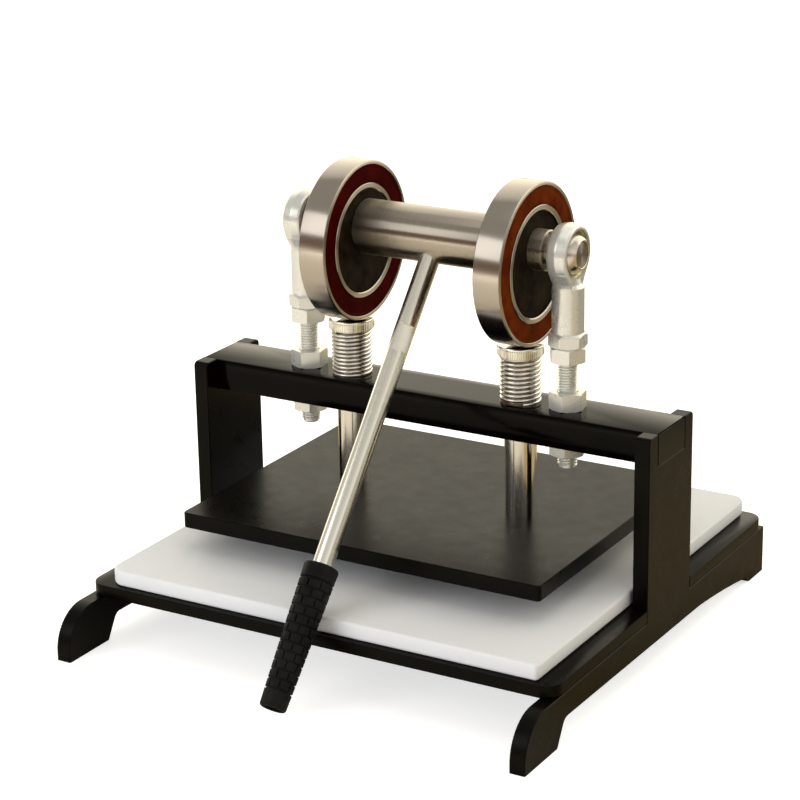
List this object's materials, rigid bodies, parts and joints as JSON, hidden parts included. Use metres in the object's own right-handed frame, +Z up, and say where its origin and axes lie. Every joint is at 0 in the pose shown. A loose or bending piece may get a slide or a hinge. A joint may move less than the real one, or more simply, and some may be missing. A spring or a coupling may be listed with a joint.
{
  "type": "manual die cutting machine",
  "caption": "Hand lever press whose eccentric bearings push a platen down onto a white cutting board, with springs on two guide pillars lifting it again.",
  "frame": {"origin": "on the floor, under the middle of the box round the whole machine, handle included", "axes": "+X to the right along the crossbeam as seen from the front, +Y to the rear away from the handle, +Z up"},
  "size_m": [0.322, 0.3524, 0.2835],
  "materials": {
    "black_paint": "gloss black enamel",
    "white_plastic": "satin polyethylene",
    "chrome": "polished chrome plate",
    "polished_steel": "ground and polished",
    "turned_steel": "turned",
    "zinc": "zinc plated",
    "nickel": "bright nickel plate",
    "spring_steel": "plated wire",
    "dark_steel": "blackened steel",
    "pressed_steel": "pressed",
    "race_brass": "satin",
    "bronze": "sintered bronze",
    "maroon_rubber": "satin",
    "orange_brown_rubber": "satin",
    "black_rubber": "matt moulded"
  },
  "bodies": {
    "frame": {"side_plate_left": "black_paint", "side_plate_right": "black_paint", "base_plate": "black_paint", "crossbeam": "black_paint", "jam_nuts": "zinc", "beam_top_nuts": "zinc", "beam_lower_nuts": "zinc", "guide_bush_left": "bronze", "stud_left": "zinc", "rod_end_left": "zinc", "rod_end_race_left": "race_brass", "spring_left": "spring_steel", "guide_bush_right": "bronze", "stud_right": "zinc", "rod_end_right": "zinc", "rod_end_race_right": "race_brass", "spring_right": "spring_steel"},
    "press": {"platen": "black_paint", "pillar_screws": "zinc", "guide_pillar_left": "chrome", "guide_pillar_right": "chrome", "guide_cap_left": "polished_steel", "guide_cap_right": "polished_steel"},
    "crank": {"crankshaft": "turned_steel", "eccentric_screws": "dark_steel", "handle_rod": "nickel", "hand_grip": "black_rubber", "eccentric_left": "dark_steel", "rod_end_ball_left": "chrome", "bearing_inner_left": "polished_steel", "eccentric_right": "dark_steel", "rod_end_ball_right": "chrome", "bearing_inner_right": "polished_steel"},
    "roller_left": {"bearing_outer_left": "polished_steel", "bearing_seals_left": "maroon_rubber", "bearing_balls_left": "chrome", "bearing_cage_left": "pressed_steel"},
    "roller_right": {"bearing_outer_right": "polished_steel", "bearing_seals_right": "orange_brown_rubber", "bearing_balls_right": "chrome", "bearing_cage_right": "pressed_steel"},
    "board": {"cutting_board": "white_plastic"}
  },
  "joints": [
    {"name": "press_slide", "type": "slide", "parent": "frame", "child": "press", "axis": [0, 0, 1], "range_m": [0, 0.0103], "deforming": ["spring_left", "spring_right"]},
    {"name": "crank_turn", "type": "hinge", "parent": "frame", "child": "crank", "pos_m": [0, 0.02741, 0.243], "axis": [-1, 0, 0], "range_deg": [0, 140]},
    {"name": "roller_left_turn", "type": "hinge", "parent": "crank", "child": "roller_left", "pos_m": [-0.0567, 0.02741, 0.2335], "axis": [1, 0, 0], "continuous": true},
    {"name": "roller_right_turn", "type": "hinge", "parent": "crank", "child": "roller_right", "pos_m": [0.0633, 0.02741, 0.2335], "axis": [1, 0, 0], "continuous": true},
    {"name": "board_slide", "type": "slide", "parent": "frame", "child": "board", "axis": [0, 1, 0], "range_m": [0, 0.1]}
  ],
  "couplings": [
    {"joint": "press_slide", "follows": "crank_turn", "m_per_rad": 0.0042}
  ]
}
